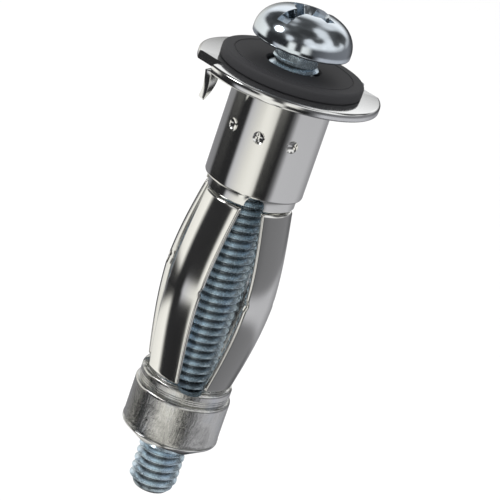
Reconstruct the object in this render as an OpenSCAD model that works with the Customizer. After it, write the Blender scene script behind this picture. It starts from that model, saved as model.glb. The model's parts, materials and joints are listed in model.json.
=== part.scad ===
/* [Sleeve] */
// Length of the sleeve, from the underside of the flange to the end of the nut
sleeve_length = 31.3; // [26:0.1:46]
// Outside diameter of the barrel that fills the hole in the wall
barrel_diameter = 7.9; // [7:0.1:10]
// Length of the barrel's straight wall under the flange
barrel_length = 8.45; // [5:0.05:12]
// Thickness of the rolled sleeve sheet
sleeve_sheet = 0.65; // [0.45:0.05:0.8]
// How far the sheet steps in where the barrel and the collar become legs
neck_step = 0.35; // [0.25:0.05:0.6]
// Height of the necked ring between the barrel and the legs
barrel_neck = 0.9; // [0.6:0.05:1.4]
// Height of the necked ring between the legs and the collar
collar_neck = 1.25; // [0.6:0.05:1.6]
// Length of the collar's straight wall, the closed end of the sheet around the nut
collar_length = 3.7; // [3:0.1:6]
// Width of the butt seam in the rolled sheet
seam_width = 0.12; // [0.05:0.01:0.3]

/* [Legs] */
// How far the legs bow out at the fold
bulge = 1.2; // [0.8:0.1:2]
// Width of each slot at the barrel
slot_top_width = 1.45; // [1:0.05:1.8]
// Width of each slot at the fold, with the legs straight
slot_fold_width = 1.75; // [1.2:0.05:2]
// Width of each slot at the collar
slot_bottom_width = 1.95; // [1.2:0.05:2.2]
// Lean of the legs off the axis when the anchor is fully set
set_angle = 70; // [50:1:75]

/* [Flange] */
// Diameter of the flange plate
flange_diameter = 14.5; // [12:0.1:20]
// Thickness of the flange plate
flange_thickness = 0.7; // [0.5:0.05:1.2]
// Length of each claw under the flange
claw_length = 2.4; // [1.6:0.1:3.2]
// Direction of the first claw's root, round the axis from +X
claw_turn = 28.5; // [0:0.5:90]
// Arc of rim that each claw was cut from
claw_arc = 26; // [18:1:34]
// Depth of the cut into the rim
claw_cut = 1.25; // [0.8:0.05:1.6]

/* [Screw] */
// Nominal diameter of the thread
thread_diameter = 4; // [3:0.5:4.5]
// Pitch of the thread
pitch = 0.7; // [0.5:0.05:0.8]
// Length of the screw under its head
screw_length = 39; // [34:1:52]
// Diameter of the pan head
head_diameter = 7.75; // [6.5:0.05:9.5]
// Height of the pan head
head_height = 2.8; // [2.2:0.1:3.4]
// How far the head stands off the washer as supplied
head_lift = 1.6; // [0:0.1:4]
// Length of the smooth shank under the head
shank_length = 1.4; // [1:0.1:4]
// Width of the cross recess, tip to tip
recess_width = 4.3; // [3.6:0.1:4.8]
// Depth of the cross recess
recess_depth = 1.9; // [1.3:0.1:2.1]
// Width of the straight slot across the head
slot_width = 1; // [0.8:0.1:1.3]
// Depth of the straight slot
slot_depth = 0.9; // [0.5:0.1:1.2]

/* [Nut] */
// Height of the nut's cone under the collar
nut_cone_height = 1.05; // [0.7:0.05:1.6]
// Diameter of the flat end of the cone
nut_end_diameter = 5.6; // [5:0.1:6.6]
// How far the cone's rim stands out past the collar
nut_rim = 0.04; // [0:0.01:0.08]

/* [Washer] */
// Diameter of the washer under the head
washer_diameter = 11.3; // [9:0.1:14]
// Thickness of the washer
washer_thickness = 0.85; // [0.6:0.05:1.6]
// Radius of the washer's rounded edges
washer_edge = 0.2; // [0.1:0.05:0.25]

/* [Hidden] */
$fn = 96;
leg_count = 4;
claw_count = 2;
upper_names = [for (i = [1:leg_count]) str("upper_leg_", i)];
lower_names = [for (i = [1:leg_count]) str("lower_leg_", i)];

zinc = [0.76, 0.78, 0.80];
blue_zinc = [0.62, 0.68, 0.74];
fibre_black = [0.07, 0.07, 0.08];

hinge_gap = 0.04;      // between a leg's rounded end and the sheet that it was part of
thread_gap = 0.04;     // radial play of the screw in the nut
washer_play = 0.12;    // radial play of the screw in the washer
seat_gap = 0.02;       // radial play of the nut's shank in the collar
nut_rim_height = 0.2;  // height of the nut's rim, which the collar's end rests on
mitre_margin = 2;      // degrees that the fold can close past set_angle
knuckle_half = 0.55;   // half width of the fold's middle knuckle
knuckle_reach = 1.15;  // half width of the fold's outer knuckles
claw_bite = 0.2;       // how far a claw's root runs into the plate
past = 1;              // how far a cutter runs past what it cuts

barrel_r = barrel_diameter / 2;
leg_r = barrel_r - neck_step;
leg_inner_r = leg_r - sleeve_sheet;
hinge_r = leg_r - sleeve_sheet / 2;
knuckle_r = sleeve_sheet / 2;

nut_cone_top = nut_cone_height - sleeve_length;
collar_height = collar_length + collar_neck;
collar_top = nut_cone_top + collar_height;
upper_hinge_z = -barrel_length - barrel_neck - knuckle_r - hinge_gap;
lower_hinge_z = collar_top + knuckle_r + hinge_gap;
fold_z = (upper_hinge_z + lower_hinge_z) / 2;
rest_lean = atan(bulge / (upper_hinge_z - fold_z));
leg_length = (upper_hinge_z - fold_z) / cos(rest_lean);

nut_r = barrel_r + nut_rim;

flange_r = flange_diameter / 2;
flare = flange_thickness * 0.9;

thread_r = thread_diameter / 2 - 0.05;
root_r = thread_diameter / 2 - 0.61 * pitch;
head_base = flange_thickness + washer_thickness + head_lift;
tip_z = head_base - screw_length;
tip_chamfer = thread_r - root_r;
head_r = head_diameter / 2;
head_edge = 0.15;      // small round under the head's rim

function polar(r, a) = [r * cos(a), r * sin(a)];
function leg_turn(i) = 360 / leg_count * (i - 0.5);
function leg_half_width(slot) = hinge_r * sin(180 / leg_count) - slot / 2 * cos(180 / leg_count);

// Section of the sheet from a necked end to its full radius: the legs grow from the neck.
// It is drawn with the neck's end down at z = 0 and the wall going up to wall_top.
function necked_wall(neck, wall_top) = [
    [leg_inner_r, 0],
    [leg_r, 0],
    for (a = [-60:30:0]) [
        leg_r + neck_step * cos(a),
        neck + neck_step * sin(a)
    ],
    [barrel_r, wall_top],
    [barrel_r - sleeve_sheet, wall_top],
    [barrel_r - sleeve_sheet, neck + neck_step],
    [leg_inner_r, neck]
];

module seam(height) {
    translate([0, barrel_r - sleeve_sheet / 2, 0])
        cube([seam_width, sleeve_sheet * 2.5, height * 2 + 2 * past], center = true);
}

// The flare that rivets the tube into the flange plate's countersink.
module flare_cone(extra) {
    translate([0, 0, flange_thickness - flare])
        cylinder(r1 = barrel_r, r2 = barrel_r + flare + extra, h = flare + extra);
}

module sleeve_barrel() {
    color(zinc)
        difference() {
            union() {
                translate([0, 0, -barrel_length - barrel_neck])
                    rotate_extrude()
                        polygon(necked_wall(barrel_neck, barrel_length + barrel_neck + flange_thickness));
                flare_cone(0);
            }
            cylinder(r = barrel_r - sleeve_sheet, h = flange_thickness + past);
            translate([0, 0, flange_thickness - flare])
                cylinder(r1 = barrel_r - sleeve_sheet, r2 = barrel_r, h = flare);
            translate([0, 0, flange_thickness])
                cylinder(r = barrel_r + flare + past, h = past);
            seam(barrel_length + barrel_neck + past);
        }
}

// The gap in the rim that a claw was bent out of.
module claw_gap() {
    root = polar(flange_r - claw_cut, claw_turn - claw_arc * 0.23);
    linear_extrude(flange_thickness * 3, center = true)
        polygon([
            root,
            root + (polar(flange_r, claw_turn - claw_arc) - root) * 2,
            polar(flange_r * 1.5, claw_turn - claw_arc / 2),
            root + (polar(flange_r, claw_turn) - root) * 2
        ]);
}

module claw() {
    root = polar(flange_r - claw_cut, claw_turn - claw_arc * 0.23);
    outer = polar(flange_r, claw_turn);
    run = outer - root;
    width = norm(run) * 0.95;
    translate([root[0], root[1], 0])
        rotate([90, 0, atan2(run[1], run[0])])
            translate([0, 0, -claw_bite])
                linear_extrude(flange_thickness)
                    polygon([
                        [0, flange_thickness * 0.9],
                        [0, -0.2 * claw_length],
                        [0.45 * width, -0.75 * claw_length],
                        [0.8 * width, -claw_length],
                        [0.95 * width, -0.5 * claw_length],
                        [width, 0],
                        [width, flange_thickness * 0.9]
                    ]);
}

module flange_plate() {
    color(zinc) {
        difference() {
            cylinder(r = flange_r, h = flange_thickness);
            translate([0, 0, -past])
                cylinder(r = barrel_r, h = flange_thickness + 2 * past);
            flare_cone(0.01);
            for (k = [0:claw_count - 1]) rotate(k * 360 / claw_count) claw_gap();
        }
        for (k = [0:claw_count - 1]) rotate(k * 360 / claw_count) claw();
    }
}

// A cylinder along Y on a leg's crease line, between two distances from the leg's middle.
module crease(r, from, to) {
    for (side = [-1, 1])
        translate([hinge_r, side * (from + to) / 2, 0])
            rotate([90, 0, 0]) cylinder(r = r, h = to - from, center = true);
}

// One half of a leg, hanging straight down from its hinge at z = 0, with its middle on +X.
// The upper half has the fold's middle knuckle, and the lower half the two outer ones.
module half_leg(middle_knuckle, end_slot) {
    end_half_width = leg_half_width(end_slot);
    fold_half_width = leg_half_width(slot_fold_width);
    closing = set_angle + mitre_margin;
    own = middle_knuckle ? [0, knuckle_half] : [knuckle_half + hinge_gap, knuckle_reach];
    other = middle_knuckle ? [knuckle_half, knuckle_reach + hinge_gap] : [0, knuckle_half + hinge_gap];
    difference() {
        union() {
            difference() {
                intersection() {
                    translate([0, 0, -leg_length])
                        difference() {
                            cylinder(r = leg_r, h = leg_length);
                            translate([0, 0, -past]) cylinder(r = leg_inner_r, h = leg_length + 2 * past);
                        }
                    rotate([90, 0, 90])
                        linear_extrude(leg_r + past)
                            polygon([
                                [-end_half_width, 0],
                                [end_half_width, 0],
                                [fold_half_width, -leg_length],
                                [-fold_half_width, -leg_length]
                            ]);
                }
                translate([hinge_r, 0, -leg_length])
                    rotate([0, closing, 0])
                        translate([-2 * leg_length, -leg_r, -leg_length * 2])
                            cube([2 * leg_length, 2 * leg_r, leg_length * 2]);
                translate([hinge_r - past, -leg_r, -leg_length - past])
                    cube([2 * past, 2 * leg_r, past + hinge_gap / 2]);
            }
            crease(knuckle_r, 0, knuckle_reach);
            translate([0, 0, -leg_length]) crease(knuckle_r, own[0], own[1]);
        }
        translate([0, 0, -leg_length]) crease(knuckle_r + hinge_gap, other[0], other[1]);
    }
}

module upper_leg(i) {
    color(zinc)
        rotate(leg_turn(i))
            translate([hinge_r, 0, upper_hinge_z])
                rotate([0, -rest_lean, 0])
                    translate([-hinge_r, 0, 0]) half_leg(true, slot_top_width);
}

module lower_leg(i) {
    color(zinc)
        rotate(leg_turn(i))
            translate([hinge_r, 0, lower_hinge_z])
                mirror([0, 0, 1])
                    rotate([0, -rest_lean, 0])
                        translate([-hinge_r, 0, 0]) half_leg(false, slot_bottom_width);
}

module end_collar() {
    color(zinc)
        difference() {
            translate([0, 0, collar_top])
                mirror([0, 0, 1])
                    rotate_extrude() polygon(necked_wall(collar_neck, collar_height));
            translate([0, 0, collar_top - collar_height / 2]) seam(collar_height);
        }
}

module threaded_nut() {
    shank_top = collar_top - collar_neck - neck_step - seat_gap;
    color(zinc)
        difference() {
            union() {
                translate([0, 0, nut_cone_top])
                    cylinder(r = barrel_r - sleeve_sheet - seat_gap, h = shank_top - nut_cone_top);
                translate([0, 0, nut_cone_top - nut_rim_height])
                    cylinder(r = nut_r, h = nut_rim_height);
                translate([0, 0, -sleeve_length])
                    cylinder(r1 = nut_end_diameter / 2, r2 = nut_r, h = nut_cone_height - nut_rim_height);
            }
            translate([0, 0, -sleeve_length - past])
                cylinder(r = thread_r + thread_gap, h = sleeve_length);
        }
}

module washer() {
    color(fibre_black)
        translate([0, 0, flange_thickness])
            difference() {
                rotate_extrude()
                    polygon([
                        [0, 0],
                        [washer_diameter / 2 - washer_edge, 0],
                        [washer_diameter / 2, washer_edge],
                        [washer_diameter / 2, washer_thickness - washer_edge],
                        [washer_diameter / 2 - washer_edge, washer_thickness],
                        [0, washer_thickness]
                    ]);
                translate([0, 0, -past])
                    cylinder(r = thread_diameter / 2 + washer_play, h = washer_thickness + 2 * past);
            }
}

// Half section of the screw: pan head, smooth shank, one V groove per pitch, and a chamfered tip.
function screw_section() =
    let (
        first = head_base - shank_length,
        grooves = floor((first - tip_z - tip_chamfer) / pitch),
        flat = pitch / 8,
        dome = head_height * 0.6
    )
    concat(
        [[0, tip_z], [root_r, tip_z], [thread_r, tip_z + tip_chamfer]],
        [for (k = [grooves - 1:-1:0], p = [
            [thread_r, -pitch + flat / 2],
            [root_r, -pitch / 2 - flat],
            [root_r, -pitch / 2 + flat],
            [thread_r, -flat / 2]
        ]) [p[0], first - k * pitch + p[1]]],
        [[thread_r, head_base], [head_r - head_edge, head_base], [head_r, head_base + head_edge]],
        [for (a = [0:11.25:90]) [
            head_r * pow(cos(a), 0.62),
            head_base + head_height - dome + dome * sin(a)
        ]]
    );

module cross_recess() {
    top = head_base + head_height;
    arm = recess_width * 0.24;
    for (turn = [0, 90])
        rotate(turn)
            translate([0, 0, top - recess_depth * 0.4])
                cube([recess_width, arm, recess_depth * 0.8 + past], center = true);
    translate([0, 0, top - recess_depth])
        cylinder(r1 = arm * 0.3, r2 = recess_width * 0.33, h = recess_depth + 0.01);
    translate([0, 0, top - slot_depth / 2 + past / 2])
        cube([head_diameter + 2 * past, slot_width, slot_depth + past], center = true);
}

module screw() {
    color(blue_zinc)
        difference() {
            rotate_extrude() polygon(screw_section());
            cross_recess();
        }
}

screw();
washer();
flange_plate();
sleeve_barrel();
end_collar();
threaded_nut();
for (i = [1:leg_count]) {
    upper_leg(i);
    lower_leg(i);
}
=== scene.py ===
"""Looks of a hollow wall anchor: a pressed sleeve with four folding legs, its nut, washer and screw."""

import json
import math

import bmesh
import bpy
from bpy.props import FloatProperty, FloatVectorProperty, IntProperty, PointerProperty
from mathutils import Matrix, Vector


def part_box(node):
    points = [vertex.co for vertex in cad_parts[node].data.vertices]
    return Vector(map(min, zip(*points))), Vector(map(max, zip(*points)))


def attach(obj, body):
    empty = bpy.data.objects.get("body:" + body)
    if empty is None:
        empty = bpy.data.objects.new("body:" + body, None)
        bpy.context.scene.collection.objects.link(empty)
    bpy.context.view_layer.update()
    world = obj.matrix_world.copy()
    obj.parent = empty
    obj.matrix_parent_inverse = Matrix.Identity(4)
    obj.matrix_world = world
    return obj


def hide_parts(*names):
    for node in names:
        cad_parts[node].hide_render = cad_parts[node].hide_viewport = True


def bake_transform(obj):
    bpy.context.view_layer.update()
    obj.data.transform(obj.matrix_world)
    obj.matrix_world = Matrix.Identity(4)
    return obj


bl_info = {
    "name": "Hollow wall anchor",
    "version": (1, 0, 0),
    "blender": (4, 5, 0),
    "location": "View3D > Sidebar > Anchor",
    "description": "Models the visible pieces of a hollow wall anchor around its frame",
    "category": "Add Mesh",
}

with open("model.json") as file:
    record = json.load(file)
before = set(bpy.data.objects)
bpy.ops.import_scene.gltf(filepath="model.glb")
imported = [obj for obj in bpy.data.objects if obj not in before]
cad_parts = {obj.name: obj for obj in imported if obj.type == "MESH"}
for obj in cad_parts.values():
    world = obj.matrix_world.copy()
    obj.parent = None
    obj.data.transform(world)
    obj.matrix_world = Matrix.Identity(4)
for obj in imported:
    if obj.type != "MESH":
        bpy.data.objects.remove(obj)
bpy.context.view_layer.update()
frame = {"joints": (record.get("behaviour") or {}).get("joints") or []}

MM = 0.001
SHARP = math.radians(38)
LEG_COUNT = 4
LEG_TURN = math.radians(45)
SLOT_TURN = math.radians(45)
FRONT = math.radians(-100.5)
WELD = 1e-4
QUARTER = math.radians(90)

LEG_STEPS = 84
LEG_EDGE = 0.19
LEG_FLAT = 1 - LEG_EDGE
NICK_SHARE = 0.47
NICK_DEPTH = 0.16
NICK_REACH = 0.45
FLARE_SHARE = 0.9
WALL_ROWS = 23
SEAM_WIDTH = 0.1
BORE_PLAY = 0.04
FLOOR_DROP = 14
FLOOR_R = 1.5


def span(node):
    """Lowest and highest corner of a frame node, in millimetres."""
    low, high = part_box(node)
    return low / MM, high / MM


def joint_place(name):
    """Where a hinge of the frame lies, as (distance from the axis, height), in millimetres."""
    joint = next(j for j in frame["joints"] if j["name"] == name)
    x, y, z = (value / MM for value in joint["pos_m"])
    return math.hypot(x, y), z


SCREW_LOW, SCREW_HIGH = span("screw")
WASHER_LOW, WASHER_HIGH = span("washer")
BARREL_LOW, BARREL_HIGH = span("sleeve_barrel")
COLLAR_LOW, COLLAR_HIGH = span("end_collar")
NUT_LOW, NUT_HIGH = span("threaded_nut")
HINGE_R, UPPER_HINGE_Z = joint_place("upper_leg_1_out")
FOLD_R, FOLD_Z = joint_place("leg_1_fold")
LOWER_HINGE_Z = joint_place("collar_level")[1]

BARREL_R = (COLLAR_HIGH.x - COLLAR_LOW.x) / 2
TIP_Z = SCREW_LOW.z


class SleeveSettings(bpy.types.PropertyGroup):
    """Sizes of the pressed sleeve."""

    sheet: FloatProperty(
        name="Sheet", description="Thickness of the sleeve's sheet", default=0.65 * MM, unit="LENGTH"
    )
    neck_ring: FloatProperty(
        name="Neck ring", description="Height of the necked ring under the barrel",
        default=0.9 * MM, unit="LENGTH"
    )
    collar_ring: FloatProperty(
        name="Collar ring", description="Height of the necked ring over the collar",
        default=1.25 * MM, unit="LENGTH"
    )
    top_slot: FloatProperty(
        name="Slot at the barrel", description="Width of each slot at the barrel",
        default=1.45 * MM, unit="LENGTH"
    )
    bottom_slot: FloatProperty(
        name="Slot at the collar", description="Width of each slot at the collar",
        default=1.95 * MM, unit="LENGTH"
    )
    top_half_width: FloatProperty(
        name="Leg half width, top", description="Half a leg's width at the barrel",
        default=1.83 * MM, unit="LENGTH"
    )
    fold_half_width: FloatProperty(
        name="Leg half width, fold", description="Half a leg's width at the fold",
        default=1.70 * MM, unit="LENGTH"
    )
    bottom_half_width: FloatProperty(
        name="Leg half width, bottom", description="Half a leg's width at the collar",
        default=1.58 * MM, unit="LENGTH"
    )
    roundness: FloatProperty(
        name="Roundness of the bow", description="0 is a straight bent leg, 1 a fully rounded one",
        default=0.8, subtype="FACTOR", min=0, max=1
    )


class PlateSettings(bpy.types.PropertyGroup):
    """Sizes of the flange plate and the washer."""

    diameter: FloatProperty(
        name="Plate", description="Diameter of the flange plate", default=14.5 * MM, unit="LENGTH"
    )
    thickness: FloatProperty(
        name="Thickness", description="Thickness of the flange plate", default=0.7 * MM, unit="LENGTH"
    )
    claw_turn: FloatProperty(
        name="Claw direction", description="Direction of a claw's root round the axis",
        default=math.radians(28.5), unit="ROTATION"
    )
    claw_arc: FloatProperty(
        name="Claw arc", description="Arc of rim that a claw was cut from",
        default=math.radians(26), unit="ROTATION"
    )
    claw_cut: FloatProperty(
        name="Claw cut", description="Depth of the cut into the rim", default=1.25 * MM, unit="LENGTH"
    )
    claw_length: FloatProperty(
        name="Claw length", description="Length of a claw under the plate", default=2.4 * MM, unit="LENGTH"
    )
    washer_play: FloatProperty(
        name="Washer play", description="Radial play of the screw in the washer",
        default=0.12 * MM, unit="LENGTH"
    )


class ScrewSettings(bpy.types.PropertyGroup):
    """Sizes of the machine screw."""

    thread: FloatProperty(
        name="Thread", description="Diameter over the thread's crests", default=3.9 * MM, unit="LENGTH"
    )
    root: FloatProperty(
        name="Root", description="Diameter at the thread's root", default=3.02 * MM, unit="LENGTH"
    )
    pitch: FloatProperty(name="Pitch", description="Pitch of the thread", default=0.7 * MM, unit="LENGTH")
    steps: IntProperty(name="Steps", description="Steps in one turn of the thread", default=48, min=12)
    head_height: FloatProperty(
        name="Head height", description="Height of the pan head", default=2.8 * MM, unit="LENGTH"
    )
    recess: FloatProperty(
        name="Recess", description="Width of the cross recess", default=4.7 * MM, unit="LENGTH"
    )
    recess_depth: FloatProperty(
        name="Recess depth", description="Depth of the cross recess", default=1.9 * MM, unit="LENGTH"
    )
    slot: FloatProperty(
        name="Slot", description="Width of the straight slot", default=1.0 * MM, unit="LENGTH"
    )
    slot_depth: FloatProperty(
        name="Slot depth", description="Depth of the straight slot", default=0.9 * MM, unit="LENGTH"
    )


class FinishSettings(bpy.types.PropertyGroup):
    """Colours of the finishes."""

    sleeve: FloatVectorProperty(
        name="Sleeve", description="Bright zinc of the sleeve", default=(0.86, 0.86, 0.83), subtype="COLOR"
    )
    sleeve_cloud: FloatVectorProperty(
        name="Sleeve clouds", description="Warm clouds in the sleeve's zinc",
        default=(0.80, 0.77, 0.68), subtype="COLOR"
    )
    screw: FloatVectorProperty(
        name="Screw", description="Blue passivated zinc of the screw",
        default=(0.62, 0.74, 0.82), subtype="COLOR"
    )
    washer: FloatVectorProperty(
        name="Washer", description="Black fibre of the washer",
        default=(0.003, 0.0036, 0.004), subtype="COLOR"
    )
    floor: FloatVectorProperty(
        name="Floor", description="Pale floor", default=(0.92, 0.92, 0.92), subtype="COLOR"
    )


class CameraSettings(bpy.types.PropertyGroup):
    """Where the camera stands."""

    azimuth: FloatProperty(
        name="Azimuth", description="Direction round the axis", default=math.radians(-10.5), unit="ROTATION"
    )
    elevation: FloatProperty(
        name="Elevation", description="Height over the horizon", default=math.radians(20.16), unit="ROTATION"
    )
    roll: FloatProperty(
        name="Roll", description="Lean of the camera", default=math.radians(19.11), unit="ROTATION"
    )
    distance: FloatProperty(
        name="Distance", description="From the camera to its target", default=170.4 * MM, unit="LENGTH"
    )
    target_z: FloatProperty(
        name="Target height", description="Height of the target", default=-13.79 * MM, unit="LENGTH"
    )
    target_right: FloatProperty(
        name="Target offset", description="Target's offset to the right", default=1.445 * MM, unit="LENGTH"
    )
    lens: FloatProperty(name="Lens", description="Focal length", default=157.2, unit="CAMERA")


def mm(value):
    """A length setting in millimetres."""
    return value / MM


# ---------------------------------------------------------------- shaping tools


def arc(centre, radius, start, end, steps=5):
    """Points of an arc in the section plane, from one angle to another, in degrees."""
    turns = [math.radians(start + (end - start) * i / steps) for i in range(steps + 1)]
    return [(centre[0] + radius * math.cos(t), centre[1] + radius * math.sin(t)) for t in turns]


def section(points, closed=True):
    """A mesh holding a section in the XZ plane, as a chain of edges."""
    bm = bmesh.new()
    verts = [bm.verts.new((x, 0, z)) for x, z in points]
    ends = zip(verts, verts[1:] + verts[:1]) if closed else zip(verts, verts[1:])
    for a, b in ends:
        bm.edges.new((a, b))
    return bm


def turned(points, steps=160, closed=True):
    """The solid that a section makes when it is turned round the axis."""
    bm = section(points, closed)
    bmesh.ops.spin(
        bm, geom=bm.verts[:] + bm.edges[:], cent=(0, 0, 0), axis=(0, 0, 1), dvec=(0, 0, 0),
        angle=math.tau, steps=steps, use_merge=True, use_duplicate=False
    )
    bmesh.ops.remove_doubles(bm, verts=bm.verts[:], dist=WELD)
    bmesh.ops.recalc_face_normals(bm, faces=bm.faces[:])
    return bm


def block(size, centre=(0, 0, 0), taper=1.0):
    """A box, with its lower face scaled by taper."""
    bm = bmesh.new()
    bmesh.ops.create_cube(bm, size=1)
    low = [v for v in bm.verts if v.co.z < 0]
    bmesh.ops.scale(bm, vec=(taper, taper, 1), verts=low)
    bmesh.ops.scale(bm, vec=size, verts=bm.verts[:])
    bmesh.ops.translate(bm, vec=centre, verts=bm.verts[:])
    return bm


def prism(outline, low, high):
    """An outline in the XY plane, raised from one height to another."""
    bm = bmesh.new()
    face = bm.faces.new([bm.verts.new((x, y, low)) for x, y in outline])
    raised = bmesh.ops.extrude_face_region(bm, geom=[face])
    top = [v for v in raised["geom"] if isinstance(v, bmesh.types.BMVert)]
    bmesh.ops.translate(bm, vec=(0, 0, high - low), verts=top)
    bmesh.ops.recalc_face_normals(bm, faces=bm.faces[:])
    return bm


def spun(bm, angle):
    """Turns a mesh about the part's axis, and returns it."""
    bmesh.ops.rotate(bm, cent=(0, 0, 0), matrix=Matrix.Rotation(angle, 3, "Z"), verts=bm.verts[:])
    return bm


def everything(bm):
    """All of a mesh, as an operator's input."""
    return bm.verts[:] + bm.edges[:] + bm.faces[:]


def carve(bm, cutters):
    """Cuts other meshes out of a mesh."""
    objects = []
    for part in [bm, *cutters]:
        mesh = bpy.data.meshes.new("carving")
        part.to_mesh(mesh)
        part.free()
        objects.append(bpy.data.objects.new("carving", mesh))
        bpy.context.collection.objects.link(objects[-1])
    body = objects[0]
    for cutter in objects[1:]:
        cut = body.modifiers.new("cut", "BOOLEAN")
        cut.operation = "DIFFERENCE"
        cut.solver = "EXACT"
        cut.object = cutter
    evaluated = body.evaluated_get(bpy.context.evaluated_depsgraph_get())
    result = bmesh.new()
    result.from_mesh(evaluated.to_mesh())
    evaluated.to_mesh_clear()
    for obj in objects:
        mesh = obj.data
        bpy.data.objects.remove(obj)
        bpy.data.meshes.remove(mesh)
    bmesh.ops.remove_doubles(result, verts=result.verts[:], dist=WELD)
    return result


def joined(parts):
    """Several meshes as one."""
    whole = bmesh.new()
    for part in parts:
        mesh = bpy.data.meshes.new("part")
        part.to_mesh(mesh)
        part.free()
        whole.from_mesh(mesh)
        bpy.data.meshes.remove(mesh)
    return whole


def piece(name, bm, material, replaced=(), body=None, weighted=False):
    """Makes a finished object of a mesh drawn in millimetres."""
    bmesh.ops.scale(bm, vec=(MM, MM, MM), verts=bm.verts[:])
    mesh = bpy.data.meshes.new(name)
    bm.to_mesh(mesh)
    bm.free()
    mesh.shade_smooth()
    mesh.set_sharp_from_angle(angle=SHARP)
    obj = bpy.data.objects.new(name, mesh)
    bpy.context.collection.objects.link(obj)
    mesh.materials.append(material)
    if weighted:
        normals = obj.modifiers.new("even_shading", "WEIGHTED_NORMAL")
        normals.keep_sharp = True
    if body:
        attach(obj, body)
    if replaced:
        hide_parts(*replaced)
    return obj


# ---------------------------------------------------------------- finishes


def node(tree, kind, **values):
    """Adds a shader node and sets its attributes and named inputs."""
    made = tree.nodes.new(kind)
    for key, value in values.items():
        if hasattr(made, key):
            setattr(made, key, value)
        else:
            made.inputs[key.replace("_", " ")].default_value = value
    return made


def ramp(tree, source, stops):
    """A colour ramp over a factor."""
    made = tree.nodes.new("ShaderNodeValToRGB")
    elements = made.color_ramp.elements
    while len(elements) < len(stops):
        elements.new(0.5)
    for element, (place, value) in zip(elements, stops):
        element.position = place
        element.color = (*value, 1) if isinstance(value, tuple) else (value, value, value, 1)
    tree.links.new(source, made.inputs["Fac"])
    return made.outputs["Color"]


def new_material(name):
    """A new material with its node tree and main shader."""
    material = bpy.data.materials.new(name)
    material.use_nodes = True
    tree = material.node_tree
    return material, tree, tree.nodes["Principled BSDF"]


def object_place(tree, scale):
    """Object coordinates with a scale for each axis, in patterns to the millimetre."""
    coordinates = tree.nodes.new("ShaderNodeTexCoord")
    mapping = node(tree, "ShaderNodeMapping")
    mapping.inputs["Scale"].default_value = [s / MM for s in scale]
    tree.links.new(coordinates.outputs["Object"], mapping.inputs["Vector"])
    return mapping.outputs["Vector"]


def zinc(
    name, colour, cloud, rough=(0.06, 0.17), streaks=(3.0, 3.0, 0.25), bump=0.35, dent=1.1, root=None
):
    """Bright plated steel: cloudy passivation, drawn streaks, fine dents and a varying gloss; given root
    radii, painted shade in a thread's grooves.
    """
    material, tree, shader = new_material(name)
    link = tree.links.new
    shader.inputs["Metallic"].default_value = 0.8 if root else 1.0
    shader.inputs["IOR"].default_value = 2.0
    clouds = node(tree, "ShaderNodeTexNoise", Scale=0.55, Detail=5.0, Roughness=0.6)
    link(object_place(tree, (1, 1, 0.6)), clouds.inputs["Vector"])
    cool = (0.95 * colour[0], 0.98 * colour[1], 1.04 * colour[2])
    tint = ramp(tree, clouds.outputs["Fac"], [(0.30, tuple(cloud)), (0.50, tuple(colour)), (0.72, cool)])
    drawn = node(tree, "ShaderNodeTexNoise", Scale=2.2, Detail=6.0, Roughness=0.65)
    link(object_place(tree, streaks), drawn.inputs["Vector"])
    shade = ramp(tree, drawn.outputs["Fac"], [(0.30, 0.80), (0.58, 1.0)])
    mix = node(tree, "ShaderNodeMix", data_type="RGBA", blend_type="MULTIPLY")
    mix.inputs["Factor"].default_value = 0.6
    link(tint, mix.inputs[6])
    link(shade, mix.inputs[7])
    link(mix.outputs[2], shader.inputs["Base Color"])
    gloss = node(tree, "ShaderNodeMapRange", From_Min=0.3, From_Max=0.72, To_Min=rough[0], To_Max=rough[1])
    link(drawn.outputs["Fac"], gloss.inputs["Value"])
    link(gloss.outputs["Result"], shader.inputs["Roughness"])
    dents = node(tree, "ShaderNodeTexNoise", Scale=dent, Detail=3.0, Roughness=0.5)
    link(object_place(tree, (1, 1, 1)), dents.inputs["Vector"])
    height = node(tree, "ShaderNodeMath", operation="ADD")
    link(dents.outputs["Fac"], height.inputs[0])
    link(drawn.outputs["Fac"], height.inputs[1])
    bumped = node(tree, "ShaderNodeBump", Strength=bump, Distance=0.12 * MM)
    link(height.outputs[0], bumped.inputs["Height"])
    grain = node(tree, "ShaderNodeTexNoise", Scale=9.0, Detail=3.0, Roughness=0.7)
    link(object_place(tree, (1, 1, 0.7)), grain.inputs["Vector"])
    fine = node(tree, "ShaderNodeBump", Strength=0.25, Distance=0.02 * MM)
    link(grain.outputs["Fac"], fine.inputs["Height"])
    link(bumped.outputs["Normal"], fine.inputs["Normal"])
    link(fine.outputs["Normal"], shader.inputs["Normal"])
    # Painted shade: the base colour is darkened towards the thread's root.
    if root:
        paint_groove_shade(tree, mix, shader, root)
    return material


def paint_groove_shade(tree, mix, shader, root):
    """Paints shade into a thread's grooves: the base colour darkens towards the root, between two radii in
    millimetres.
    """
    link = tree.links.new
    flat = node(tree, "ShaderNodeVectorMath", operation="LENGTH")
    link(object_place(tree, (1, 1, 0)), flat.inputs[0])
    depth = node(tree, "ShaderNodeMapRange", From_Min=root[0], From_Max=root[1])
    link(flat.outputs["Value"], depth.inputs["Value"])
    shade = ramp(tree, depth.outputs["Result"], [(0.0, 0.22), (0.3, 0.60), (0.6, 1.0)])
    # Painted shade multiplied into the base colour, darkest at the root.
    painted_groove_shade = node(tree, "ShaderNodeMix", data_type="RGBA", blend_type="MULTIPLY")
    painted_groove_shade.inputs["Factor"].default_value = 1.0
    link(mix.outputs[2], painted_groove_shade.inputs[6])
    link(shade, painted_groove_shade.inputs[7])
    link(painted_groove_shade.outputs[2], shader.inputs["Base Color"])


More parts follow.
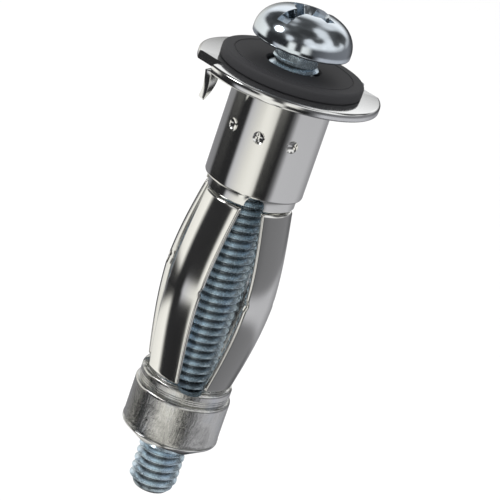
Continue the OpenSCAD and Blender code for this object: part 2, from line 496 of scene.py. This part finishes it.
def black_fibre(name, colour):
    """Pressed black fibre: a satin skin with fine fibres and faint turning rings."""
    material, tree, shader = new_material(name)
    link = tree.links.new
    fibres = node(tree, "ShaderNodeTexNoise", Scale=5.0, Detail=8.0, Roughness=0.7, Distortion=0.6)
    link(object_place(tree, (1, 1, 3)), fibres.inputs["Vector"])
    light = tuple(min(1.0, 2.6 * c + 0.004) for c in colour)
    shader.inputs["Specular IOR Level"].default_value = 0.2
    shader.inputs["IOR"].default_value = 1.18
    tint = ramp(tree, fibres.outputs["Fac"], [(0.35, tuple(colour)), (0.75, light)])
    link(tint, shader.inputs["Base Color"])
    gloss = node(tree, "ShaderNodeMapRange", From_Min=0.3, From_Max=0.7, To_Min=0.30, To_Max=0.52)
    link(fibres.outputs["Fac"], gloss.inputs["Value"])
    link(gloss.outputs["Result"], shader.inputs["Roughness"])
    rings = node(tree, "ShaderNodeTexWave", wave_type="RINGS", rings_direction="Z", Scale=1.6, Distortion=1.5)
    rings.inputs["Detail"].default_value = 2.0
    link(object_place(tree, (1, 1, 1)), rings.inputs["Vector"])
    height = node(tree, "ShaderNodeMath", operation="MULTIPLY_ADD")
    height.inputs[1].default_value = 0.4
    link(rings.outputs["Fac"], height.inputs[0])
    link(fibres.outputs["Fac"], height.inputs[2])
    bumped = node(tree, "ShaderNodeBump", Strength=0.35, Distance=0.05 * MM)
    link(height.outputs[0], bumped.inputs["Height"])
    link(bumped.outputs["Normal"], shader.inputs["Normal"])
    return material


def finish(name):
    """One of the object's finishes, made when it is first asked for.

    The frame brings flat materials with the names of its own slots, and those are used as they are.
    So only crimped_zinc and blue_zinc_thread are made here: crimped_zinc is a darker copy of the sleeve's
    zinc, which is painted shade, and blue_zinc_thread has painted shade in its grooves. To make another of
    the finishes, it has to be given a name that the frame doesn't have.
    """
    if name in bpy.data.materials:
        return bpy.data.materials[name]
    colours = bpy.context.scene.anchor_finish
    if name == "black_fibre":
        return black_fibre(name, colours.washer)
    blue = colours.screw
    if name == "blue_zinc_thread":
        screw = bpy.context.scene.anchor_screw
        radii = (mm(screw.root) / 2, mm(screw.thread) / 2)
        pale = [min(1.0, 1.2 * c) for c in blue]
        # The radii set where painted shade darkens the thread's grooves.
        return zinc(name, pale, blue, (0.16, 0.32), (2, 2, 2), 0.12, 1.0, radii)
    if name == "crimped_zinc":
        # The collar's zinc is a darker copy of the sleeve's: the darkness is painted shade, and the gloss is
        # rougher.
        shaded_sleeve = [0.8 * c for c in colours.sleeve]
        cloud = [0.72 * c for c in shaded_sleeve]
        return zinc(name, shaded_sleeve, cloud, rough=(0.07, 0.20), streaks=(2.4, 2.4, 0.5), bump=0.3)
    if name == "blue_zinc_screw":
        pale = [0.5 + 0.5 * c for c in blue]
        return zinc(name, pale, blue, rough=(0.08, 0.2), streaks=(0.6, 0.6, 0.6), bump=0.3, dent=0.6)
    return zinc(name, colours.sleeve, colours.sleeve_cloud)


# ---------------------------------------------------------------- pieces


def slot_ends(half, height, low, high, flat=1.0):
    """Cutters that round off the ends of the four slots, from one radius out past the sheet."""
    cutters = []
    for quarter in range(LEG_COUNT):
        end = bmesh.new()
        bmesh.ops.create_cone(
            end, cap_ends=True, segments=40, radius1=half, radius2=half, depth=2 * BARREL_R,
            matrix=Matrix.Translation((BARREL_R * 1.3, 0, height)) @ Matrix.Rotation(QUARTER, 4, "Y")
        )
        bmesh.ops.scale(end, vec=(1, 1, flat), space=Matrix.Translation((0, 0, -height)), verts=end.verts[:])
        slit = block((2 * BARREL_R, 2 * half, high - low), (BARREL_R * 1.3, 0, (low + high) / 2))
        cutters += [spun(end, QUARTER * quarter), spun(slit, QUARTER * quarter)]
    return cutters


def seam(height):
    """Cutter for the butt seam at the sleeve's back, with its middle at a height."""
    return block((SEAM_WIDTH, 1.2, 30), (0, BARREL_R - 0.25, height))


def dimples():
    """Cutters for the three plain dimples that are pressed into the barrel."""
    radius, depth, height = 0.75, 0.2, -3.7
    cutters = []
    for turn in (-46, -10, 29):
        ball = bmesh.new()
        bmesh.ops.create_uvsphere(ball, u_segments=48, v_segments=32, radius=radius)
        bmesh.ops.translate(ball, vec=(BARREL_R + radius - depth, 0, height), verts=ball.verts[:])
        cutters.append(spun(ball, FRONT + math.radians(turn)))
    return cutters


class ANCHOR_OT_barrel(bpy.types.Operator):
    """The sleeve's barrel with its flare, neck ring and slot ends"""

    bl_idname = "anchor.barrel"
    bl_label = "Barrel"

    def execute(self, context):
        s = context.scene.anchor_sleeve
        sheet = mm(s.sheet)
        outer, inner = BARREL_R, BARREL_R - sheet
        neck_r = HINGE_R + sheet / 2
        low = BARREL_LOW.z
        edge = low + mm(s.neck_ring)
        top = BARREL_HIGH.z
        flare = top * FLARE_SHARE
        points = [
            (neck_r - 0.05, low + 0.02),
            (neck_r, low + 0.08),
            *arc((neck_r + 0.12, edge - 0.12), 0.12, 180, 90, 4),
            *arc((outer - 0.16, edge + 0.16), 0.16, -70, 0, 5),
            *[(outer, edge + 0.7 + 0.3 * k) for k in range(WALL_ROWS)],
            (outer, top - flare),
            (outer + flare - 0.05, top - 0.04),
            (outer + flare - 0.1, top),
            *arc((inner + flare + 0.12, top - 0.2), 0.2, 90, 160, 4),
            (inner, top - flare - 0.2),
            (inner, edge + 0.3),
            (neck_r - sheet, edge - 0.2),
            (neck_r - sheet, low),
        ]
        bm = turned(points, steps=192)
        half = mm(s.top_slot) / 2 + 0.05
        crown = edge - half + 0.1
        bm = carve(bm, [seam(-4), *slot_ends(half, crown, low - 1, crown), *dimples()])
        slot = "zinc_sleeve"
        piece("barrel", bm, finish(slot), ["sleeve_barrel"], "sleeve", weighted=True)
        return {"FINISHED"}


class ANCHOR_OT_legs(bpy.types.Operator):
    """The sleeve's four legs, each one bowed strip that bends at its fold"""

    bl_idname = "anchor.legs"
    bl_label = "Legs"

    def execute(self, context):
        shape = leg(context.scene.anchor_sleeve)
        for number in range(LEG_COUNT):
            turn = LEG_TURN + math.tau / LEG_COUNT * number
            name = f"leg_{number + 1}"
            replaced = [f"upper_{name}", f"lower_{name}"]
            obj = piece(name, spun(shape.copy(), turn), finish("zinc_sleeve"), replaced)
            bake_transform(obj)
        return {"FINISHED"}


def bow(s, share):
    """How far out the leg stands at a share of its length, from 0 at the barrel to 1 at the collar."""
    to_fold = 1 - abs(2 * share - 1)
    rounded = math.sin(math.pi / 2 * to_fold)
    return (FOLD_R - HINGE_R) * (to_fold + s.roundness * (rounded - to_fold))


def leg(s):
    """One leg with its middle on +X, at rest: a rounded bar, cut into fine steps and bent to shape."""
    sheet = mm(s.sheet)
    length = UPPER_HINGE_Z - LOWER_HINGE_Z
    over = sheet * 0.31
    bm = block((sheet, 2, length))
    bmesh.ops.bevel(
        bm, geom=bm.edges[:], offset=LEG_EDGE, segments=4, affect="EDGES", profile=0.5, material=-1
    )
    cuts = [((0, 0, (k / LEG_STEPS - 0.5) * length), (0, 0, 1)) for k in range(1, LEG_STEPS)]
    cuts += [((0, 0.11 * k, 0), (0, 1, 0)) for k in range(-7, 8)]
    for place, normal in cuts:
        bmesh.ops.bisect_plane(bm, geom=everything(bm), dist=WELD, plane_co=place, plane_no=normal)
    for vert in bm.verts:
        share = 0.5 - vert.co.z / length
        from_nick = abs(share - NICK_SHARE) * length
        width = mm(s.fold_half_width)
        end = mm(s.top_half_width if share < 0.5 else s.bottom_half_width)
        width += (end - width) * abs(2 * share - 1) ** 1.5
        width -= NICK_DEPTH * max(0.0, 1 - from_nick / NICK_REACH) ** 1.5
        across = abs(vert.co.y)
        flat, rounded = min(across, LEG_FLAT), max(0.0, across - LEG_FLAT)
        turn = math.copysign(flat / LEG_FLAT * (width - LEG_EDGE) + rounded, vert.co.y) / HINGE_R
        r = HINGE_R + vert.co.x
        vert.co = (r * math.cos(turn) + bow(s, share), r * math.sin(turn),
                   UPPER_HINGE_Z + over - share * (length + 2 * over))
    bmesh.ops.recalc_face_normals(bm, faces=bm.faces[:])
    return bm


class ANCHOR_OT_collar(bpy.types.Operator):
    """The sleeve's closed end, crimped round the nut"""

    bl_idname = "anchor.collar"
    bl_label = "Collar"

    def execute(self, context):
        s = context.scene.anchor_sleeve
        sheet = mm(s.sheet)
        outer, inner = BARREL_R, BARREL_R - sheet
        neck_r = HINGE_R + sheet / 2
        top, low = COLLAR_HIGH.z, COLLAR_LOW.z
        edge = top - mm(s.collar_ring)
        tail_r = BARREL_R - 0.2
        creases = []
        for k in range(3):
            creases += arc((tail_r, edge + 0.5 - 0.17 * k), 0.05, 90, 270, 4)
        points = [
            (inner, low),
            (outer - 0.05, low),
            (outer + 0.04, low + 0.1),
            (outer, low + 0.3),
            *arc((outer - 0.3, edge - 0.3), 0.3, 0, 80, 6),
            (tail_r - 0.14, edge + 0.03),
            *reversed(creases),
            *arc((tail_r - 0.3, top - 0.35), 0.3, 0, 90, 6),
            (neck_r - 0.2, top),
            (neck_r - sheet, top),
            (neck_r - sheet, edge),
            (inner, edge - 0.4),
        ]
        bm = turned(points, steps=192)
        bm = carve(bm, [seam(-28), *slot_ends(mm(s.bottom_slot) / 2, top, top, top + 1, 0.35)])
        # Darker copy of the sleeve's zinc, which is painted shade.
        crimped = finish("crimped_zinc")
        piece("collar", bm, crimped, ["end_collar"], "nut_collar", weighted=True)
        return {"FINISHED"}


class ANCHOR_OT_nut(bpy.types.Operator):
    """The threaded nut with the cone that shows under the collar"""

    bl_idname = "anchor.nut"
    bl_label = "Nut"

    def execute(self, context):
        thread = context.scene.anchor_screw
        seat_r = BARREL_R - mm(context.scene.anchor_sleeve.sheet) - 0.02
        rim_r = (NUT_HIGH.x - NUT_LOW.x) / 2
        bore_r = mm(thread.thread) / 2 + BORE_PLAY
        low, high = NUT_LOW.z, NUT_HIGH.z
        points = [
            (bore_r, high),
            (seat_r, high),
            (seat_r, COLLAR_LOW.z),
            *arc((rim_r - 0.1, COLLAR_LOW.z - 0.1), 0.1, 90, -40, 4),
            *arc((2.8 - 0.35, low + 0.05), 0.25, -40, -90, 4),
            (bore_r + 0.25, low - 0.2),
            (bore_r, low + 0.1),
        ]
        bm = turned(points, steps=160)
        piece("nut", bm, finish("zinc_nut"), ["threaded_nut"], "nut_collar")
        return {"FINISHED"}


class ANCHOR_OT_plate(bpy.types.Operator):
    """The flange plate with its two claws"""

    bl_idname = "anchor.plate"
    bl_label = "Flange plate"

    def execute(self, context):
        s = context.scene.anchor_plate
        r, thick = mm(s.diameter) / 2, mm(s.thickness)
        flare = thick * FLARE_SHARE
        points = [
            (BARREL_R, 0),
            *arc((r - 0.12, 0.12), 0.12, -90, 0, 4),
            *arc((r - 0.22, thick - 0.22), 0.22, 0, 90, 5),
            (BARREL_R + flare + 0.01, thick),
            (BARREL_R, thick - flare),
        ]
        bm = turned(points, steps=180)
        cutters = [spun(claw_gap(s), math.pi * k) for k in range(2)]
        bm = carve(bm, cutters)
        bm = joined([bm, *[spun(claw(s), math.pi * k) for k in range(2)]])
        piece("flange_plate_skin", bm, finish("zinc_flange"), ["flange_plate"], "sleeve")
        return {"FINISHED"}


def polar(radius, angle):
    """A point of the plane at a distance and direction from the axis."""
    return Vector((radius * math.cos(angle), radius * math.sin(angle)))


def claw_root(s):
    """Where a claw leaves the plate, at the inner end of its cut."""
    return polar(mm(s.diameter) / 2 - mm(s.claw_cut), s.claw_turn - s.claw_arc * 0.23)


def claw_gap(s):
    """The part of the rim that a claw was bent out of."""
    r = mm(s.diameter) / 2
    root = claw_root(s)
    return prism(
        [
            root,
            root + (polar(r, s.claw_turn - s.claw_arc) - root) * 2,
            polar(r * 1.5, s.claw_turn - s.claw_arc / 2),
            root + (polar(r, s.claw_turn) - root) * 2,
        ],
        -1, 2,
    )


def claw(s):
    """A pointed claw, bent down from the rim and curled inwards towards its tip."""
    r, thick = mm(s.diameter) / 2, mm(s.thickness)
    root, outer = claw_root(s), polar(r, s.claw_turn)
    run = outer - root
    width = run.length * 0.98
    drop = mm(s.claw_length) + thick * 0.35
    bm = bmesh.new()
    bmesh.ops.create_grid(bm, x_segments=8, y_segments=18, size=0.5)
    for vert in bm.verts:
        across, down = vert.co.x + 0.5, 0.5 - vert.co.y
        x = width * (0.3 * down**1.5 + across * (1 - 0.86 * down**1.6))
        curl = 0.16 * math.sin(math.pi * down) - 0.3 * down**2
        vert.co = (x, curl, thick * 0.35 - down * drop)
    bmesh.ops.recalc_face_normals(bm, faces=bm.faces[:])
    bmesh.ops.solidify(bm, geom=bm.faces[:], thickness=0.5)
    bmesh.ops.recalc_face_normals(bm, faces=bm.faces[:])
    edges = [e for e in bm.edges if e.is_manifold and e.calc_face_angle(0) > math.radians(50)]
    bmesh.ops.bevel(bm, geom=edges, offset=0.08, segments=2, affect="EDGES", profile=0.5, material=-1,
                    clamp_overlap=True)
    turn = Matrix.Rotation(math.atan2(run.y, run.x), 4, "Z")
    bmesh.ops.transform(
        bm, matrix=Matrix.Translation((root.x, root.y, 0)) @ turn, space=Matrix.Identity(4), verts=bm.verts[:]
    )
    return bm


class ANCHOR_OT_washer(bpy.types.Operator):
    """The black fibre washer"""

    bl_idname = "anchor.washer"
    bl_label = "Washer"

    def execute(self, context):
        s = context.scene.anchor_plate
        r = (WASHER_HIGH.x - WASHER_LOW.x) / 2
        hole = mm(context.scene.anchor_screw.thread) / 2 + 0.05 + mm(s.washer_play)
        low, high = WASHER_LOW.z, WASHER_HIGH.z
        points = [
            (hole, low + 0.06),
            (hole + 0.06, low),
            *arc((r - 0.14, low + 0.14), 0.14, -90, 0, 4),
            *arc((r - 0.24, high - 0.24), 0.24, 0, 90, 6),
            (r - 0.75, high),
            *arc((r - 0.95, high), 0.06, 0, -180, 4),
            (r - 1.15, high - 0.03),
            (hole + 0.9, high - 0.06),
            (hole + 0.1, high - 0.06),
            (hole, high - 0.16),
        ]
        bm = turned(points, steps=180)
        piece("washer_skin", bm, finish("black_fibre"), ["washer"], "washer")
        return {"FINISHED"}


def screw_head(s):
    """Pan head, cut for a cross driver and a flat blade."""
    base = SCREW_HIGH.z - mm(s.head_height)
    r = (SCREW_HIGH.x - SCREW_LOW.x) / 2
    height = mm(s.head_height)
    dome = height * 0.84
    turns = [math.radians(90 * k / 32) for k in range(32)]
    curve = [(r * math.cos(a) ** 0.7, base + height - dome + dome * math.sin(a)) for a in turns]
    curve.append((0, base + height))
    points = [(0, base), *arc((r - 0.18, base + 0.18), 0.18, -90, 0, 4), *curve]
    bm = turned(points, steps=144, closed=False)
    top = base + height
    wide, deep = mm(s.recess), mm(s.recess_depth)
    arm = wide * 0.24
    cutters = [spun(block((wide, arm, deep * 2), (0, 0, top), 0.7), turn) for turn in (0, QUARTER)]
    well = bmesh.new()
    bmesh.ops.create_cone(
        well, cap_ends=True, segments=32, radius1=arm * 0.35, radius2=wide * 0.34, depth=deep + 0.4,
        matrix=Matrix.Translation((0, 0, top - deep / 2 + 0.2))
    )
    cutters.append(well)
    cutters.append(block((2 * r + 2, mm(s.slot), mm(s.slot_depth) * 2), (0, 0, top)))
    bm = spun(carve(bm, cutters), SLOT_TURN)
    upper = [e for e in bm.edges if e.is_manifold and e.verts[0].co.z > top - 2]
    rim = [e for e in upper if e.calc_face_angle(0) > math.radians(40)]
    bmesh.ops.bevel(
        bm, geom=rim, offset=0.07, segments=2, affect="EDGES", profile=0.5, material=-1, clamp_overlap=True
    )
    return bm


def screw_thread(s):
    """The helical thread, from the shank to the chamfered tip."""
    crest, root, pitch = mm(s.thread) / 2, mm(s.root) / 2, mm(s.pitch)
    base = SCREW_HIGH.z - mm(s.head_height)
    top = base - 1.0
    rise = [(root, 0), (root, 0.08), (root + 0.06, 0.14), (crest - 0.05, 0.42), (crest, 0.47)]
    fall = [(crest, 0.53), (crest - 0.05, 0.58), (root + 0.06, 0.86), (root, 0.92), (root, 1)]
    start = TIP_Z - 2 * pitch
    bm = section([(x, start + z * pitch) for x, z in rise + fall], closed=False)
    bmesh.ops.spin(
        bm, geom=bm.verts[:] + bm.edges[:], cent=(0, 0, 0), axis=(0, 0, 1), dvec=(0, 0, pitch / s.steps),
        angle=math.tau, steps=s.steps, use_merge=False, use_duplicate=False
    )
    one_turn = everything(bm)
    for number in range(1, math.ceil((top - start) / pitch) + 2):
        copy = bmesh.ops.duplicate(bm, geom=one_turn)["geom"]
        copied = [v for v in copy if isinstance(v, bmesh.types.BMVert)]
        bmesh.ops.translate(bm, vec=(0, 0, number * pitch), verts=copied)
    bmesh.ops.remove_doubles(bm, verts=bm.verts[:], dist=2e-3)
    for height, outwards in ((top, 1), (TIP_Z, -1)):
        bmesh.ops.bisect_plane(
            bm, geom=everything(bm), dist=1e-5, plane_co=(0, 0, height),
            plane_no=(0, 0, outwards), clear_outer=True
        )
        rim = [e for e in bm.edges if e.is_boundary and all(abs(v.co.z - height) < 1e-3 for v in e.verts)]
        bmesh.ops.holes_fill(bm, edges=rim, sides=0)
    for vert in bm.verts:
        r = vert.co.xy.length
        chamfer = root - 0.1 + max(0.0, vert.co.z - TIP_Z) * 0.9
        fade = root + 0.18 + max(0.0, top - vert.co.z) * 0.5
        limit = min(chamfer, fade)
        if r > limit:
            vert.co.xy *= limit / r
    bmesh.ops.recalc_face_normals(bm, faces=bm.faces[:])
    return bm


class ANCHOR_OT_screw(bpy.types.Operator):
    """The machine screw: head, shank and thread"""

    bl_idname = "anchor.screw"
    bl_label = "Screw"

    def execute(self, context):
        s = context.scene.anchor_screw
        base = SCREW_HIGH.z - mm(s.head_height)
        shank_r = mm(s.root) / 2 + 0.2
        low, neck, high = base - 1.3, base - 0.2, base + 0.05
        points = [(0, low), (shank_r, low), (shank_r, neck), (shank_r + 0.2, high), (0, high)]
        shank = turned(points, steps=96, closed=False)
        slot = "blue_zinc_screw"
        piece("screw_head", screw_head(s), finish(slot), ["screw"], "screw", weighted=True)
        body = joined([shank, screw_thread(s)])
        piece("screw_thread", body, finish("blue_zinc_thread"), ["screw"], "screw")
        return {"FINISHED"}


# ---------------------------------------------------------------- stage


# The studio's screens: a direction from the front in degrees, and how light it is. Upright walls mirror the
# first row, and the sloped legs the second.
UPRIGHT_SCREENS = [
    (-180, 0.2), (-126, 0.17), (-116, 0.02), (-64, 0.015), (-57, 0.42), (-30, 0.62), (-6, 0.70),
    (3, 0.60), (9, 0.012), (35, 0.012), (43, 0.10), (54, 0.40), (120, 0.38), (150, 0.22)
]
LEANING_SCREENS = [
    (-180, 0.05), (-152, 0.55), (-92, 0.75), (-82, 0.02), (-28, 0.015), (-22, 0.75), (-12, 0.7),
    (-7, 0.03), (3, 0.03), (8, 0.75), (20, 0.6), (30, 0.05), (70, 0.13), (130, 0.16), (160, 0.04)
]


def studio(tree, front):
    """A white room with dark screens round it, for bright metal to mirror.

    Only mirrored rays see the screens. The camera and the soft light get plain white.
    """
    link = tree.links.new
    tree.nodes.clear()
    output = tree.nodes.new("ShaderNodeOutputWorld")
    direction = tree.nodes.new("ShaderNodeTexCoord").outputs["Generated"]
    parts = tree.nodes.new("ShaderNodeSeparateXYZ")
    link(direction, parts.inputs[0])
    angle = node(tree, "ShaderNodeMath", operation="ARCTAN2")
    link(parts.outputs["Y"], angle.inputs[0])
    link(parts.outputs["X"], angle.inputs[1])
    from_front = node(tree, "ShaderNodeMath", operation="SUBTRACT")
    link(angle.outputs[0], from_front.inputs[0])
    from_front.inputs[1].default_value = front
    share = node(tree, "ShaderNodeMath", operation="MULTIPLY_ADD")
    link(from_front.outputs[0], share.inputs[0])
    share.inputs[1].default_value = 1 / math.tau
    share.inputs[2].default_value = 0.5
    whole = node(tree, "ShaderNodeMath", operation="FRACT")
    link(share.outputs[0], whole.inputs[0])
    bands = []
    for screens in (UPRIGHT_SCREENS, LEANING_SCREENS):
        stops = []
        for turn, light in screens:
            green, blue = (0.985, 0.93) if light > 0.5 else (1.0, 1.05)
            stops.append(((turn + 180) / 360, (light, light * green, light * blue)))
        bands.append(ramp(tree, whole.outputs[0], stops))
    tilt = node(tree, "ShaderNodeMath", operation="ADD")
    link(parts.outputs["Z"], tilt.inputs[0])
    tilt.inputs[1].default_value = 0.355
    off_level = node(tree, "ShaderNodeMath", operation="ABSOLUTE")
    link(tilt.outputs[0], off_level.inputs[0])
    lean = node(tree, "ShaderNodeMapRange", From_Min=0.085, From_Max=0.13)
    link(off_level.outputs[0], lean.inputs["Value"])
    blended = node(tree, "ShaderNodeMix", data_type="RGBA")
    link(lean.outputs["Result"], blended.inputs["Factor"])
    link(bands[0], blended.inputs[6])
    link(bands[1], blended.inputs[7])
    swirl = node(tree, "ShaderNodeTexNoise", Scale=1.2, Detail=1.5, Roughness=0.5)
    link(direction, swirl.inputs["Vector"])
    sky = ramp(tree, swirl.outputs["Fac"], [(0.38, 0.03), (0.48, 0.07), (0.55, 0.55), (0.66, 0.75)])
    height = node(tree, "ShaderNodeMapRange", From_Min=0.12, From_Max=0.34)
    link(parts.outputs["Z"], height.inputs["Value"])
    room = node(tree, "ShaderNodeMix", data_type="RGBA")
    link(height.outputs["Result"], room.inputs["Factor"])
    link(blended.outputs[2], room.inputs[6])
    link(sky, room.inputs[7])
    mirrored = node(tree, "ShaderNodeBackground", Strength=1.5)
    link(room.outputs[2], mirrored.inputs["Color"])
    plain = node(tree, "ShaderNodeBackground", Strength=1.08)
    plain.inputs["Color"].default_value = (1, 1, 1, 1)
    path = tree.nodes.new("ShaderNodeLightPath")
    choose = tree.nodes.new("ShaderNodeMixShader")
    link(path.outputs["Is Glossy Ray"], choose.inputs["Fac"])
    link(plain.outputs[0], choose.inputs[1])
    link(mirrored.outputs[0], choose.inputs[2])
    link(choose.outputs[0], output.inputs["Surface"])


class ANCHOR_OT_stage(bpy.types.Operator):
    """The pale floor, the soft light and the camera"""

    bl_idname = "anchor.stage"
    bl_label = "Stage"

    def execute(self, context):
        scene = context.scene
        c = scene.anchor_camera
        a, e = c.azimuth, c.elevation
        back = Vector((math.sin(a) * math.cos(e), -math.cos(a) * math.cos(e), math.sin(e)))
        right = Vector((math.cos(a), math.sin(a), 0))
        up = back.cross(right)
        across = right * math.cos(c.roll) + up * math.sin(c.roll)
        over = up * math.cos(c.roll) - right * math.sin(c.roll)
        camera = bpy.data.objects.new("camera", bpy.data.cameras.new("camera"))
        scene.collection.objects.link(camera)
        camera.data.lens = c.lens
        camera.data.clip_start = 0.01
        place = right * c.target_right + Vector((0, 0, c.target_z)) + back * c.distance
        camera.matrix_world = Matrix.Translation(place) @ Matrix((across, over, back)).transposed().to_4x4()
        scene.camera = camera

        ground = bmesh.new()
        bmesh.ops.create_circle(ground, cap_ends=True, segments=96, radius=FLOOR_R)
        bmesh.ops.translate(ground, vec=(0, 0, (TIP_Z - FLOOR_DROP) * MM), verts=ground.verts[:])
        mesh = bpy.data.meshes.new("floor")
        ground.to_mesh(mesh)
        ground.free()
        floor = bpy.data.objects.new("floor", mesh)
        scene.collection.objects.link(floor)
        material, tree, shader = new_material("floor_paint")
        shader.inputs["Base Color"].default_value = (*scene.anchor_finish.floor, 1)
        shader.inputs["Roughness"].default_value = 0.9
        clear = tree.nodes.new("ShaderNodeBsdfTransparent")
        side = tree.nodes.new("ShaderNodeNewGeometry")
        seen = tree.nodes.new("ShaderNodeMixShader")
        tree.links.new(side.outputs["Backfacing"], seen.inputs["Fac"])
        tree.links.new(shader.outputs[0], seen.inputs[1])
        tree.links.new(clear.outputs[0], seen.inputs[2])
        tree.links.new(seen.outputs[0], tree.nodes["Material Output"].inputs["Surface"])
        mesh.materials.append(material)
        floor.visible_glossy = False

        light = bpy.data.lights.new("softbox", "AREA")
        light.shape = "DISK"
        light.size = 0.12
        light.energy = 0.25
        softbox = bpy.data.objects.new("softbox", light)
        stand = back * 0.16 - across * 0.2 + over * 0.22
        aim = stand.to_track_quat("Z", "Y").to_matrix().to_4x4()
        softbox.matrix_world = Matrix.Translation(stand) @ aim
        scene.collection.objects.link(softbox)

        scene.world = bpy.data.worlds.new("studio")
        scene.world.use_nodes = True
        studio(scene.world.node_tree, math.atan2(back.y, back.x))
        scene.view_settings.view_transform = "Standard"
        return {"FINISHED"}


class ANCHOR_PT_panel(bpy.types.Panel):
    """Lists the anchor's pieces"""

    bl_label = "Wall anchor"
    bl_space_type = "VIEW_3D"
    bl_region_type = "UI"
    bl_category = "Anchor"

    def draw(self, context):
        for operator in OPERATORS:
            self.layout.operator(operator.bl_idname)


SETTINGS = {
    "anchor_sleeve": SleeveSettings,
    "anchor_plate": PlateSettings,
    "anchor_screw": ScrewSettings,
    "anchor_finish": FinishSettings,
    "anchor_camera": CameraSettings,
}
OPERATORS = [
    ANCHOR_OT_stage,
    ANCHOR_OT_barrel,
    ANCHOR_OT_legs,
    ANCHOR_OT_collar,
    ANCHOR_OT_nut,
    ANCHOR_OT_plate,
    ANCHOR_OT_washer,
    ANCHOR_OT_screw,
]


def register():
    """Registers the classes and hangs the settings on the scene."""
    for cls in [*SETTINGS.values(), *OPERATORS, ANCHOR_PT_panel]:
        bpy.utils.register_class(cls)
    for name, cls in SETTINGS.items():
        setattr(bpy.types.Scene, name, PointerProperty(type=cls))


def unregister():
    """Takes the settings and the classes away again."""
    for name in SETTINGS:
        delattr(bpy.types.Scene, name)
    for cls in [ANCHOR_PT_panel, *reversed(OPERATORS), *reversed(SETTINGS.values())]:
        bpy.utils.unregister_class(cls)


def main():
    """Makes the stage and every piece."""
    register()
    bpy.ops.anchor.stage()
    bpy.ops.anchor.barrel()
    bpy.ops.anchor.legs()
    bpy.ops.anchor.collar()
    bpy.ops.anchor.nut()
    bpy.ops.anchor.plate()
    bpy.ops.anchor.washer()
    bpy.ops.anchor.screw()


if __name__ == "__main__":
    main()
